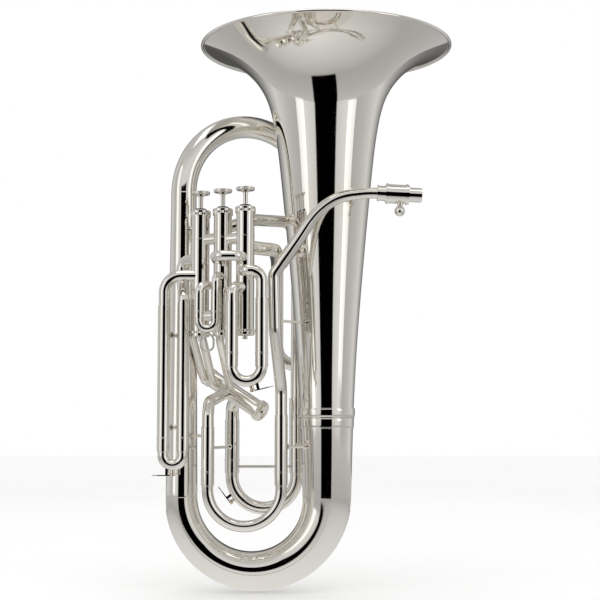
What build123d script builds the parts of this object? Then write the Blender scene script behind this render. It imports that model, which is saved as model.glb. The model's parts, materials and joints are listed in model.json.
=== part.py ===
from build123d import *
import math
import os

os.makedirs("parts", exist_ok=True)

# All sizes are in millimetres. The origin is the lowest point of the bottom bow.
# +X runs from the left branch to the bell, -Y is the side of the valve slides, +Z is up.

# ---- clearances ----
solder_gap = 0.05
slide_fit = 0.05
piston_fit = 0.05
hinge_fit = 0.05

# ---- bell and bows ----
sheet = 0.7
bow_spread = 244.0
overall_height = 928.0
bell_mouth_r = 216.0
bell_throat_r = 41.0
branch_low_r = 26.5
branch_high_r = 21.5
branch_height = 516.0
bow_taper_share = 0.608
top_bow_r_end = 16.5
top_bow_reach = 226.0
top_bow_depth = 118.0
back_tube_r = 11.0
back_drop = 250.0
guard_thickness = 1.0
guard_from = 8.0
guard_to = 172.0
ferrule_thickness = 0.4
ferrule_length = 14.0
bell_ferrule_low = 270.0
bell_ferrule_high = 304.0
bell_ferrule_bulge = 1.6
rim_bead_r = 2.8
rim_wire_r = 2.1

# ---- valves ----
valve_spacing = 44.0
valve_row_turn = 30.0
valve_row_x = -50.0
valve_row_y = -84.0
valve_low = 421.0
valve_high = 631.0
casing_r = 14.75
casing_wall = 1.2
cap_r = 16.4
top_cap_height = 11.0
bottom_cap_height = 8.0
cap_plate = 2.0
cap_nipple_r = 4.0
cap_nipple_length = 6.0
vent_r = 1.8
stem_r = 3.6
button_r = 15.2
button_height = 9.0
stem_exposed = 24.0
piston_length = 128.0
piston_wall = 1.0
spring_r = 9.0
spring_wire_r = 0.55
spring_turns = 7
felt_r = 9.0
felt_thickness = 3.0
fourth_foot = (13.0, -15.0, 297.5)
fourth_toward_foot = (0.726, -0.5, -0.472)
fourth_length = 134.0
fourth_piston_length = 72.0
fourth_spring_r = 7.0

# ---- tubes ----
tube_r = 9.2
tube_wall = 0.6
small_tube_r = 6.7
sleeve_wall = 1.0
port_pitch = 28.0

# ---- slides: leg places, where the sleeve ends, and the tube's radius ----
ferrule_run = 20.0
first_slide = dict(left=-32.0, right=16.0, y=-135.0, split=390.0, bow_low=337.0, r=tube_r,
                   left_top=474.0, right_top=479.0, ferrule=ferrule_run, grip=64.0)
second_slide = dict(left=-86.0, right=-59.0, y=-117.0, split=457.0, bow_low=424.5, r=small_tube_r,
                    left_top=488.0, right_top=492.0, ferrule=9.0, grip=24.0)
third_slide = dict(left=-147.0, right=-115.0, y=-66.0, split=254.0, bow_low=202.0, r=tube_r,
                   left_top=472.0, right_top=477.0, ferrule=ferrule_run, grip=150.0)
main_slide = dict(left=-75.0, right=46.0, y=-50.0, split=198.0, bow_low=101.0, r=9.7,
                  left_top=272.8, right_top=292.5, ferrule=ferrule_run, grip=62.0)
fourth_slide = dict(left=-40.0, right=71.0, y=50.0, split=214.0, bow_low=122.0, r=11.3,
                    left_top=284.0, right_top=321.7, ferrule=ferrule_run, grip=60.0)
second_slide_ring_r = 10.5
second_slide_ring_rise = 7.0
second_slide_ring_wire_r = 1.8

# ---- leadpipe and receiver ----
leadpipe_y = -95.0
leadpipe_small_r = 8.8
leadpipe_large_r = 10.6
leadpipe_wall = 0.7
receiver_start = (204.0, 655.2)
receiver_drop = 3.0
receiver_bore_r = 6.9
receiver_bore_length = 24.0

# ---- water keys ----
key_lever_length = 20.0
key_pin_r = 1.1

# ---- derived ----
bell_x = bow_spread / 2
branch_x = -bow_spread / 2
bow_r_mean = bow_spread / 2
bow_r_low = bell_throat_r + (branch_low_r - bell_throat_r) * bow_taper_share
bow_rise = bow_r_mean + bow_r_low + solder_gap + guard_thickness


def fitted_bends(points, bends):
    """Bend radii, reduced together where two bends would need more than the run between them."""
    corners = [Vector(*p) for p in points]
    runs = [corners[i + 1] - corners[i] for i in range(len(corners) - 1)]
    takes = []
    for i, radius in enumerate(bends):
        turn = math.radians(runs[i].get_angle(runs[i + 1]))
        takes.append(radius * math.tan(turn / 2))
    scale = [1.0] * len(bends)
    for i, run in enumerate(runs):
        sharing = [k for k in (i - 1, i) if 0 <= k < len(bends)]
        needed = sum(takes[k] for k in sharing)
        for k in sharing:
            scale[k] = min(scale[k], 0.99 * run.length / needed)
    return [radius * factor for radius, factor in zip(bends, scale)]


def pipe(points, bends, outer_r, wall):
    """Return the solid skin and the solid bore of a round tube along straight runs and arcs."""
    if len(points) > 2:
        path = FilletPolyline(*points, radius=fitted_bends(points, bends))
    else:
        path = Line(*points)
    start = Plane(origin=path @ 0, z_dir=path % 0)
    outside = sweep(start * Circle(outer_r), path=path)
    inside = sweep(start * Circle(outer_r - wall), path=path)
    return outside, inside


def tube(points, bends, outer_r, wall):
    """A hollow round tube along straight runs and arcs."""
    outside, inside = pipe(points, bends, outer_r, wall)
    return outside - inside


def rod(start, end, r):
    """A solid round bar between two points."""
    axis = Vector(*end) - Vector(*start)
    plane = Plane(origin=start, z_dir=axis)
    return plane * Cylinder(r, axis.length, align=(Align.CENTER, Align.CENTER, Align.MIN))


def ring_tube(x, y, low, high, outer_r, inner_r):
    """An upright sleeve."""
    height = high - low
    outer = Cylinder(outer_r, height, align=(Align.CENTER, Align.CENTER, Align.MIN))
    inner = Cylinder(inner_r, height, align=(Align.CENTER, Align.CENTER, Align.MIN))
    return Pos(x, y, low) * (outer - inner)


def upright(x, y, low, high, r):
    """An upright solid cylinder."""
    return Pos(x, y, low) * Cylinder(r, high - low, align=(Align.CENTER, Align.CENTER, Align.MIN))


def save(shape, name):
    """Write one node, made of one or more separate solids."""
    if isinstance(shape, (list, tuple)):
        shape = Compound(children=[part for item in shape for part in item.solids()])
    export_step(shape, "parts/" + name + ".step")


def loft_rings(planes, radii, wall):
    """A hollow tapered tube through circles that stand on the given planes."""
    outside = loft([plane * Circle(r) for plane, r in zip(planes, radii)])
    inside = loft([plane * Circle(r - wall) for plane, r in zip(planes, radii)])
    return outside - inside


# ---------------------------------------------------------------- bell and bows

def bow_radius(angle):
    """Tube radius round the bottom bow, from 0 degrees at the bell to 180 at the branch."""
    bend = math.log(1 - bow_taper_share) / math.log(0.5)
    share = 1 - (1 - angle / 180.0) ** bend
    return bell_throat_r + (branch_low_r - bell_throat_r) * share


def bow_plane(angle):
    """Section plane round the bottom bow."""
    a = math.radians(angle)
    centre = (bow_r_mean * math.cos(a), 0, bow_rise - bow_r_mean * math.sin(a))
    return Plane(origin=centre, x_dir=(0, 1, 0), z_dir=(-math.sin(a), 0, -math.cos(a)))


bow_angles = [15.0 * i for i in range(13)]
bottom_bow = loft_rings([bow_plane(a) for a in bow_angles], [bow_radius(a) for a in bow_angles], sheet)

guard_angles = [guard_from + (guard_to - guard_from) * i / 8 for i in range(9)]
guard_blank = loft([bow_plane(a) * Circle(bow_radius(a) + solder_gap
        + guard_thickness) for a in guard_angles])
guard_core = loft([bow_plane(a) * Circle(bow_radius(a) + solder_gap) for a in guard_angles])
guard_keep_r = bow_r_mean + 4.0
guard_trim = Rot(90, 0, 0) * Cylinder(guard_keep_r, 4 * bell_throat_r)
bow_guard = guard_blank - guard_core - Pos(0, 0, bow_rise) * guard_trim

# bell outline: depth below the mouth and the outer radius there
bell_length = overall_height - bow_rise
bell_outline = [
    (0.0, bell_mouth_r - rim_bead_r),
    (16.0, 172.0),
    (42.0, 136.0),
    (84.0, 105.5),
    (139.0, 89.5),
    (235.0, 77.0),
    (386.0, 62.5),
    (560.0, 49.0),
    (bell_length, bell_throat_r),
]
bell_points = [(r, overall_height - rim_bead_r - depth * (bell_length - rim_bead_r) / bell_length)
               for depth, r in bell_outline]
bell_curve = Spline(*bell_points)
inner_points = []
for i in range(25):
    u = i / 24
    at = bell_curve @ u
    along = bell_curve % u
    inner_points.append((at.X + along.Y * sheet, at.Y - along.X * sheet))
inner_curve = Spline(*inner_points)
wall_face = make_face([
    bell_curve,
    Line(bell_curve @ 1, inner_curve @ 1),
    inner_curve,
    Line(inner_curve @ 0, bell_curve @ 0),
])
bell_skin = revolve(Plane.XZ * wall_face, Axis.Z)
bead_centre = Plane.XZ * Pos(bell_mouth_r - rim_bead_r, overall_height - rim_bead_r)
bead = revolve(bead_centre * Circle(rim_bead_r), Axis.Z)
bead_core = revolve(bead_centre * Circle(rim_wire_r + solder_gap), Axis.Z)
rim_wire = revolve(bead_centre * Circle(rim_wire_r), Axis.Z)
bell_shell = Pos(bell_x, 0, 0) * ((bell_skin + bead) - bead_core)
rim_wire = Pos(bell_x, 0, 0) * rim_wire


def bell_radius(z):
    """Outer radius of the bell at a height."""
    low = 0.0
    high = 1.0
    for _ in range(40):
        mid = (low + high) / 2
        if (bell_curve @ mid).Y > z:
            low = mid
        else:
            high = mid
    return (bell_curve @ low).X


# the bell ferrule: a two-band sleeve that follows the bell
band_mid = (bell_ferrule_low + bell_ferrule_high) / 2
ferrule_outer = Spline(
    (bell_radius(bell_ferrule_low) + 0.6, bell_ferrule_low),
    (bell_radius(bell_ferrule_low) + bell_ferrule_bulge, (bell_ferrule_low + band_mid) / 2),
    (bell_radius(band_mid) + 0.7, band_mid),
)
ferrule_upper = Spline(
    (bell_radius(band_mid) + 0.7, band_mid),
    (bell_radius(band_mid) + bell_ferrule_bulge, (bell_ferrule_high + band_mid) / 2),
    (bell_radius(bell_ferrule_high) + 0.6, bell_ferrule_high),
)
seat_points = [(bell_radius(bell_ferrule_low + (bell_ferrule_high - bell_ferrule_low) * i / 6) + solder_gap,
                bell_ferrule_low + (bell_ferrule_high - bell_ferrule_low) * i / 6) for i in range(7)]
ferrule_seat = Spline(*seat_points)
ferrule_face = make_face([
    ferrule_outer,
    ferrule_upper,
    Line(ferrule_upper @ 1, ferrule_seat @ 1),
    ferrule_seat,
    Line(ferrule_seat @ 0, ferrule_outer @ 0),
])
bell_ferrule = Pos(bell_x, 0, 0) * revolve(Plane.XZ * ferrule_face, Axis.Z)

# left branch: an upright cone from the bottom bow to the top bow
branch_top = bow_rise + branch_height
branch_outer = Cone(branch_low_r, branch_high_r, branch_height,
        align=(Align.CENTER, Align.CENTER, Align.MIN))
branch_inner = Cone(branch_low_r - sheet, branch_high_r - sheet, branch_height,
                    align=(Align.CENTER, Align.CENTER, Align.MIN))
left_branch = Pos(branch_x, 0, bow_rise) * (branch_outer - branch_inner)

# top bow: a half circle in an upright plane that leans back behind the bell
top_diameter = math.hypot(top_bow_reach, top_bow_depth)
top_r = top_diameter / 2
top_dir = (top_bow_reach / top_diameter, top_bow_depth / top_diameter)


def top_radius(angle):
    """Tube radius round the top bow."""
    return branch_high_r + (top_bow_r_end - branch_high_r) * angle / 180.0


def top_plane(angle):
    """Section plane round the top bow, from the left branch over to the back branch."""
    a = math.radians(angle)
    along = top_r * (1 - math.cos(a))
    centre = (branch_x + top_dir[0] * along, top_dir[1] * along, branch_top + top_r * math.sin(a))
    heading = (top_dir[0] * math.sin(a), top_dir[1] * math.sin(a), math.cos(a))
    return Plane(origin=centre, x_dir=(-top_dir[1], top_dir[0], 0), z_dir=heading)


top_angles = [15.0 * i for i in range(13)]
top_bow = loft_rings([top_plane(a) for a in top_angles], [top_radius(a) for a in top_angles], sheet)

# back branch: down behind the bell, round a small bow and up to the exit bend
back_x = branch_x + top_bow_reach
back_y = top_bow_depth
back_low = branch_top - back_drop
exit_x = 36.0
exit_z = 565.0
exit_bend_r = 30.0
taper_low_r = back_tube_r
cone_outer = Cone(taper_low_r, top_bow_r_end, back_drop, align=(Align.CENTER, Align.CENTER, Align.MIN))
cone_inner = Cone(taper_low_r - sheet, top_bow_r_end - sheet, back_drop,
                  align=(Align.CENTER, Align.CENTER, Align.MIN))
back_cone = Pos(back_x, back_y, back_low) * (cone_outer - cone_inner)
back_bow_r = (back_x - exit_x) / 2
back_bow = tube(
    [(back_x, back_y, back_low), (back_x, back_y, back_low - back_bow_r - 6),
     (exit_x, back_y, back_low - back_bow_r - 6), (exit_x, back_y, exit_z - exit_bend_r - 1)],
    [back_bow_r - 0.5, back_bow_r - 0.5], back_tube_r, sheet)

# ---------------------------------------------------------------- valves

row_dir = (math.cos(math.radians(valve_row_turn)), -math.sin(math.radians(valve_row_turn)))
valve_axes = [
    (valve_row_x + valve_spacing * row_dir[0], valve_row_y + valve_spacing * row_dir[1]),
    (valve_row_x, valve_row_y),
    (valve_row_x - valve_spacing * row_dir[0], valve_row_y - valve_spacing * row_dir[1]),
]
bore_r = casing_r - casing_wall
piston_r = bore_r - piston_fit


def on_valve(number):
    """Placement of a valve's own frame: its foot at the origin, its stem up +Z."""
    if number < 4:
        x, y = valve_axes[number - 1]
        return Location((x, y, valve_low))
    up = Vector(*fourth_toward_foot) * -1
    return Plane(origin=fourth_foot, x_dir=(0, 0.68, -0.72), z_dir=up).location


def valve_length(number):
    return valve_high - valve_low if number < 4 else fourth_length


def upright_cylinder(r, low, high):
    """A cylinder on a valve's own axis."""
    return Pos(0, 0, low) * Cylinder(r, high - low, align=(Align.CENTER, Align.CENTER, Align.MIN))


cap_overlap = 4.0
thread_r = casing_r + solder_gap


def bottom_cap():
    cup = upright_cylinder(cap_r - 0.8, 0, bottom_cap_height)
    lip = upright_cylinder(cap_r, bottom_cap_height - 2.5, bottom_cap_height)
    seat = upright_cylinder(thread_r, bottom_cap_height - cap_overlap, bottom_cap_height)
    hollow = upright_cylinder(bore_r - 1.5, cap_plate, bottom_cap_height)
    nipple = upright_cylinder(cap_nipple_r, -cap_nipple_length, 0)
    vent = upright_cylinder(vent_r, -cap_nipple_length, cap_plate)
    body = fillet(cup.edges().group_by(Axis.Z)[0], 1.2)
    return body + lip + nipple - seat - hollow - vent


def fourth_bottom_cap():
    cup = upright_cylinder(cap_r + 1.4, 0, bottom_cap_height)
    seat = upright_cylinder(thread_r, bottom_cap_height - cap_overlap, bottom_cap_height)
    hollow = upright_cylinder(bore_r - 1.5, cap_plate, bottom_cap_height)
    vent = upright_cylinder(vent_r * 1.4, 0, cap_plate)
    body = fillet(cup.edges().group_by(Axis.Z)[0], 1.6)
    return body - seat - hollow - vent


def top_cap(length):
    low = length - top_cap_height
    cup = upright_cylinder(cap_r - 0.8, low, length)
    lip = upright_cylinder(cap_r, low, low + 2.2)
    crown = upright_cylinder(cap_r, length - 3.6, length - 1.2)
    seat = upright_cylinder(thread_r, low, low + cap_overlap)
    hollow = upright_cylinder(bore_r - 1.5, low, length - cap_plate)
    hole = upright_cylinder(stem_r + 0.6, length - cap_plate, length)
    body = fillet(cup.edges().group_by(Axis.Z)[-1], 1.0)
    return body + lip + crown - seat - hollow - hole


def casing(length):
    low = bottom_cap_height - cap_overlap
    high = length - top_cap_height + cap_overlap
    return upright_cylinder(casing_r, low, high) - upright_cylinder(bore_r, low, high)


def spring(r, low, high):
    """A round-wire compression spring."""
    pitch = (high - low - 2 * spring_wire_r) / spring_turns
    path = Pos(0, 0, low + spring_wire_r) * Helix(pitch, pitch * spring_turns, r)
    start = Plane(origin=path @ 0, z_dir=path % 0)
    return sweep(start * Circle(spring_wire_r), path=path, is_frenet=True)


def piston(length, low, ports):
    """A hollow valve piston with cross passages at the port heights."""
    high = low + length
    shell = upright_cylinder(piston_r, low, high)
    core = upright_cylinder(piston_r - piston_wall, low + 2.0, high - 2.0)
    passage_r = tube_r - tube_wall - 1.0
    body = shell - core
    for height, turn in ports:
        cross = Pos(0, 0, height) * Rot(0, 0, turn) * Rot(0, 90, 0) * Cylinder(passage_r + 0.7,
                3 * piston_r)
        body = body + (cross & shell)
    for height, turn in ports:
        body = body - Pos(0, 0, height) * Rot(0, 0, turn) * Rot(0, 90, 0) * Cylinder(passage_r,
                3 * piston_r)
    vent = upright_cylinder(vent_r, low, low + 2.0)
    thread = upright_cylinder(stem_r - 1.0, high - 2.0, high)
    return body - vent - thread


def stem_and_button(length, piston_top):
    """The stem stands on the piston and carries the finger button."""
    button_low = length + stem_exposed
    rod_part = upright_cylinder(stem_r, piston_top, button_low + 1.0)
    disc = upright_cylinder(button_r, button_low + 3.0, button_low + 6.0)
    disc = fillet(disc.edges(), 1.2)
    under = Pos(0, 0, button_low) * Cone(stem_r + 1.5, button_r * 0.62, 3.2,
            align=(Align.CENTER, Align.CENTER, Align.MIN))
    rim = upright_cylinder(button_r, button_low + 5.0, button_low + button_height - 1.0)
    rim = fillet(rim.edges(), 1.2)
    dish = Pos(0, 0, button_low + 44.0) * Sphere(38.4)
    return rod_part + disc + under + rim - dish


upper_ports = [(105.0, 60.0), (105.0 - port_pitch, -30.0), (78.0 + 2 * port_pitch, -30.0)]
piston_low = 40.0
fourth_piston_low = 36.0
spring_room = 0.4

casings = {}
top_caps = []
bottom_caps = []
felts = []
for number in (1, 2, 3, 4):
    place = on_valve(number)
    length = valve_length(number)
    casings[number] = place * casing(length)
    top_caps.append(place * top_cap(length))
    if number < 4:
        bottom_caps.append(place * bottom_cap())
        low, long_piston, r = piston_low, piston_length, spring_r
    else:
        bottom_caps.append(place * fourth_bottom_cap())
        low, long_piston, r = fourth_piston_low, fourth_piston_length, fourth_spring_r
    washer = upright_cylinder(felt_r, length + solder_gap, length + felt_thickness)
    felts.append(place * (washer - upright_cylinder(stem_r + 0.5, length, length + felt_thickness)))
    ports = [(height, turn) for height, turn in upper_ports if low + 9 < height < low + long_piston - 9]
    if number == 4:
        ports = [(low + 20.0, 0.0), (low + 50.0, 90.0)]
    save(place * piston(long_piston, low, ports), "piston_" + str(number))
    save(place * stem_and_button(length, low + long_piston), "stem_" + str(number))
    save(place * spring(r, cap_plate + spring_room, low - spring_room), "spring_" + str(number))

# ---------------------------------------------------------------- tubes that join the valves

valve_1 = valve_axes[0]
valve_2 = valve_axes[1]
valve_3 = valve_axes[2]


def at(axis, z):
    return (axis[0], axis[1], z)


def envelope(number):
    """The space that a valve's casing fills, with its solder gap."""
    return on_valve(number) * upright_cylinder(casing_r + solder_gap, -20, valve_length(number) + 20)


def axis_point(number, height):
    """A point on a valve's axis."""
    place = on_valve(number)
    moved = place * Pos(0, 0, height)
    return tuple(moved.position)


joining = {
    "first_upper": ([at(valve_1, 524), (-14, -135, 524), (16, -135, 524), (16, -135, 470)],
                    [10.8, 18.5], tube_r, tube_wall, [1]),
    "first_lower": ([(-32, -135, 464), (-32, -135, 498), at(valve_1, 498)], [15], tube_r, tube_wall, [1]),
    "second_upper": ([(-59, -117, 482), (-59, -117, 518), at(valve_2, 518)], [12], small_tube_r,
            tube_wall, [2]),
    "second_lower": ([(-86, -117, 482), (-86, -117, 502), at(valve_2, 502)], [13], small_tube_r,
            tube_wall, [2]),
    "third_lower": ([(-147, -66, 462), (-147, -66, 522), (-88.1, -66, 522)], [28], tube_r, tube_wall, [3]),
    "third_upper": ([(-115, -66, 470), (-115, -66, 484), (-121, -38, 520), (-121, -38, 550),
            at(valve_3, 550)],
                    [14, 14, 15], tube_r, tube_wall, [3]),
    "cross_front": ([(-59.6, -84, 547), (-59.6, -137, 547), (-17.1, -137, 547), (-17.1, -106, 547)],
                    [15, 15], 8.4, tube_wall, [1, 2]),
    "link_12_low": ([at(valve_1, 470), at(valve_2, 470)], None, tube_r, tube_wall, [1, 2]),
    "link_12_high": ([at(valve_1, 580), at(valve_2, 580)], None, tube_r, tube_wall, [1, 2]),
    "link_23_low": ([at(valve_2, 455), at(valve_3, 455)], None, tube_r, tube_wall, [2, 3]),
    "link_23_high": ([at(valve_2, 582), at(valve_3, 582)], None, tube_r, tube_wall, [2, 3]),
}
skins = {}
bores = []
for name, (points, bends, r, wall, ends) in joining.items():
    outside, inside = pipe(points, bends, r, wall)
    skin = outside - inside
    for number in ends:
        skin = skin - envelope(number)
        bores.append((number, inside))
    skins[name] = skin
valve_knuckles = list(skins.values())

fourth_joining = {
    "slant_back": ([at(valve_3, 492), (-104, -34, 492), (-104, -34, 425), (-86, 0, 352),
            axis_point(4, 116)],
                   [12, 20, 14], small_tube_r, tube_wall, [3, 4]),
    "slant_front": ([at(valve_3, 468), (-87, -36, 468), (-87, -36, 425), (-70, 6, 342), axis_point(4, 103)],
                    [12, 20, 14], small_tube_r, tube_wall, [3, 4]),
    "slant_right": ([at(valve_2, 440), (-56, -55, 440), (-56, -50, 415), axis_point(4, 74)],
                    [9, 20], small_tube_r, tube_wall, [2, 4]),
}
connecting = []
for name, (points, bends, r, wall, ends) in fourth_joining.items():
    outside, inside = pipe(points, bends, r, wall)
    skin = outside - inside
    for number in ends:
        skin = skin - envelope(number)
        bores.append((number, inside))
    connecting.append(skin)

main_knuckle_points = [(main_slide["left"], main_slide["y"], main_slide["left_top"] - 10),
                       (main_slide["left"], main_slide["y"], 292),
                       (-74, -38, 314), axis_point(4, 77)]
fourth_knuckle_points = [(fourth_slide["left"], fourth_slide["y"], fourth_slide["left_top"] - 10),
                         (fourth_slide["left"], fourth_slide["y"], 306), axis_point(4, 58)]
fourth_knuckles = []
for points, bends, r in ((main_knuckle_points, [16, 16], main_slide["r"]),
                         (fourth_knuckle_points, [13], fourth_slide["r"])):
    outside, inside = pipe(points, bends, r, tube_wall)
    fourth_knuckles.append(outside - inside - envelope(4))
    bores.append((4, inside))

return_points = [(fourth_slide["right"], fourth_slide["y"], fourth_slide["right_top"] - 10),
                 (fourth_slide["right"], fourth_slide["y"], 350),
                 (72, 70, 560), (72, 70, 631), (0, -20, 622), at(valve_2, 598)]
outside, inside = pipe(return_points, [60, 60, 38, 30], 10.0, tube_wall)
return_branch = outside - inside - envelope(2)
bores.append((2, inside))

exit_points = [(exit_x, back_y, exit_z - exit_bend_r - 1), (exit_x, back_y, exit_z), (exit_x, -62, exit_z),
               at(valve_1, exit_z)]
outside, inside = pipe(exit_points, [exit_bend_r, 24], back_tube_r, sheet)
exit_bend = outside - inside - envelope(1)
bores.append((1, inside))

for number, inside in bores:
    casings[number] = casings[number] - inside

# ---------------------------------------------------------------- slides

slide_bodies = {
    "first": first_slide,
    "second": second_slide,
    "third": third_slide,
    "main": main_slide,
    "fourth": fourth_slide,
}
sleeves = {}
for name, size in slide_bodies.items():
    inner = size["r"] + slide_fit
    outer = inner + sleeve_wall
    legs = []
    tubes = []
    for x, top in ((size["left"], size["left_top"]), (size["right"], size["right_top"])):
        legs.append(ring_tube(x, size["y"], size["split"], top, outer, inner))
        low = size["split"] - size["ferrule"]
        slide_tube = ring_tube(x, size["y"], low, size["split"] + size["grip"], size["r"], size["r"] - 0.55)
        collar = ring_tube(x, size["y"], low, size["split"] - 0.3, outer, size["r"] + solder_gap / 5)
        tubes.append(slide_tube)
        tubes.append(collar)
    spread = size["right"] - size["left"]
    bow_tube_r = size["r"] - 0.3
    low = size["split"] - size["ferrule"]
    corner = size["bow_low"] + bow_tube_r
    bow = tube([(size["left"], size["y"], low), (size["left"], size["y"], corner),
                (size["right"], size["y"], corner), (size["right"], size["y"], low)],
               [spread / 2 - 0.2, spread / 2 - 0.2], bow_tube_r, tube_wall)
    sleeves[name] = legs
    if name == "fourth":
        bar_z = size["split"] - 10
        tubes.append(rod((size["left"] + outer + 0.05, size["y"], bar_z),
                         (size["right"] - outer - 0.05, size["y"], bar_z), 2.6))
    save(legs, name + "_slide_sleeves")
    save(tubes, name + "_slide_tubes")
    save(bow, name + "_slide_bow")

# pull ring under the second slide's bow
ring_x = (second_slide["left"] + second_slide["right"]) / 2
ring_top = second_slide["bow_low"] - 0.05
ring_outer_h = second_slide_ring_r + second_slide_ring_wire_r
ring_path = Plane(origin=(ring_x, second_slide["y"], ring_top - ring_outer_h - second_slide_ring_rise / 2),
                  x_dir=(1, 0, 0), z_dir=(0, -1, 0))
ring_wire = ring_path * SlotCenterToCenter(second_slide_ring_rise, 2 * second_slide_ring_r,
        rotation=90).wire()
ring_start = Plane(origin=ring_wire @ 0, z_dir=ring_wire % 0)
pull_ring = sweep(ring_start * Circle(second_slide_ring_wire_r), path=ring_wire)
save(pull_ring, "pull_ring")

# ---------------------------------------------------------------- leadpipe and receiver

lead_stations = [(204, 655.2), (168, 653.4), (144, 648.6), (122, 637), (98, 614), (80, 587.5),
        (62, 561), (46, 538)]
lead_curve = Spline(*[(x, leadpipe_y, z) for x, z in lead_stations],
                    tangents=[(-1, 0, math.tan(math.radians(receiver_drop))), (-0.56, 0, -0.83)])
lead_planes = []
lead_radii = []
for i in range(15):
    u = i / 14
    lead_planes.append(Plane(origin=lead_curve @ u, x_dir=(0, 1, 0), z_dir=lead_curve % u))
    lead_radii.append(leadpipe_small_r + (leadpipe_large_r - leadpipe_small_r) * u)
leadpipe = loft_rings(lead_planes, lead_radii, leadpipe_wall)
lead_foot = Vector(*(lead_curve @ 1))
lead_heading = Vector(*(lead_curve % 1))
elbow_start = lead_foot + lead_heading * 0.05
elbow_corner = lead_foot + lead_heading * 21
pipe_x = 35.0
lower_points = [tuple(elbow_start), tuple(elbow_corner), (pipe_x, -92, 480), (pipe_x + 1, -90, 430),
                (main_slide["right"], main_slide["y"], 335),
                (main_slide["right"], main_slide["y"], main_slide["right_top"] - 10)]
lower_mouthpipe = tube(lower_points, [14, 120, 40, 50], main_slide["r"], tube_wall)

tip_angle = math.radians(receiver_drop)
receiver_axis = Vector(math.cos(tip_angle), 0, -math.sin(tip_angle))
receiver_plane = Plane(origin=(receiver_start[0], leadpipe_y, receiver_start[1]), x_dir=(0, 1, 0),
        z_dir=receiver_axis)


def on_receiver(r, low, high):
    return receiver_plane * (Pos(0, 0, low) * Cylinder(r, high - low,
            align=(Align.CENTER, Align.CENTER, Align.MIN)))


collar_r = 12.2
box_r = 15.6
tip_r = 11.8
receiver_length = 73.0
box_low = 14.5
box_high = 52.0
lead_stop = solder_gap
collar = on_receiver(collar_r, lead_stop, box_low)
collar = collar + on_receiver(collar_r + 1.2, lead_stop, 2.2) + on_receiver(collar_r + 1.2, box_low
        - 2.0, box_low)
tip = on_receiver(tip_r, box_low, receiver_length - 1.5) + on_receiver(tip_r - 0.8, receiver_length
        - 1.5, receiver_length)
bore = on_receiver(receiver_bore_r, receiver_length - receiver_bore_length, receiver_length)
throat = on_receiver(receiver_bore_r - 1.2, lead_stop, receiver_length - receiver_bore_length)
inner_sleeve = collar + tip - bore - throat
box_body = on_receiver(box_r, box_low + solder_gap, box_high) - on_receiver(tip_r + solder_gap,
        box_low, box_high)
flange = on_receiver(box_r + 1.3, box_low + solder_gap, box_low + 2.4) + on_receiver(box_r + 1.3,
        box_high - 5, box_high - 2)
flange = flange - on_receiver(tip_r + solder_gap, box_low, box_high)
screw_at = receiver_plane.origin + receiver_axis * 38.0
screw_down = Vector(-math.sin(tip_angle), 0, -math.cos(tip_angle))
boss = rod(tuple(screw_at + screw_down * (tip_r + 1.0)), tuple(screw_at + screw_down * (box_r + 3.0)), 4.6)
screw_hole = rod(tuple(screw_at + screw_down * tip_r), tuple(screw_at + screw_down * (box_r + 4.0)),
        2.3 + hinge_fit)
box_shell = (box_body + flange + boss) - on_receiver(tip_r + solder_gap, box_low, box_high) - screw_hole
screw_shaft = rod(tuple(screw_at + screw_down * (tip_r + 0.3)),
        tuple(screw_at + screw_down * (box_r + 8.0)), 2.3)
ball_centre = screw_at + screw_down * (box_r + 3.6 + 8.6)
ball = Pos(*ball_centre) * Sphere(8.6)
neck = rod(tuple(screw_at + screw_down * (box_r + 3.3)), tuple(screw_at + screw_down * (box_r + 7.0)), 4.0)
save(screw_shaft + ball + neck, "thumb_screw")
save([inner_sleeve, box_shell], "mouthpiece_receiver")

# ---------------------------------------------------------------- water keys


def bow_space(size):
    """The space that a slide's bow fills, with its solder gap."""
    corner = size["bow_low"] + size["r"] - 0.3
    half = (size["right"] - size["left"]) / 2
    path = [(size["left"], size["y"], corner + 3 * half), (size["left"], size["y"], corner),
            (size["right"], size["y"], corner), (size["right"], size["y"], corner + 3 * half)]
    outside, inside = pipe(path, [half - 0.2, half - 0.2], size["r"] - 0.3 + solder_gap, tube_wall)
    return outside


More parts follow.
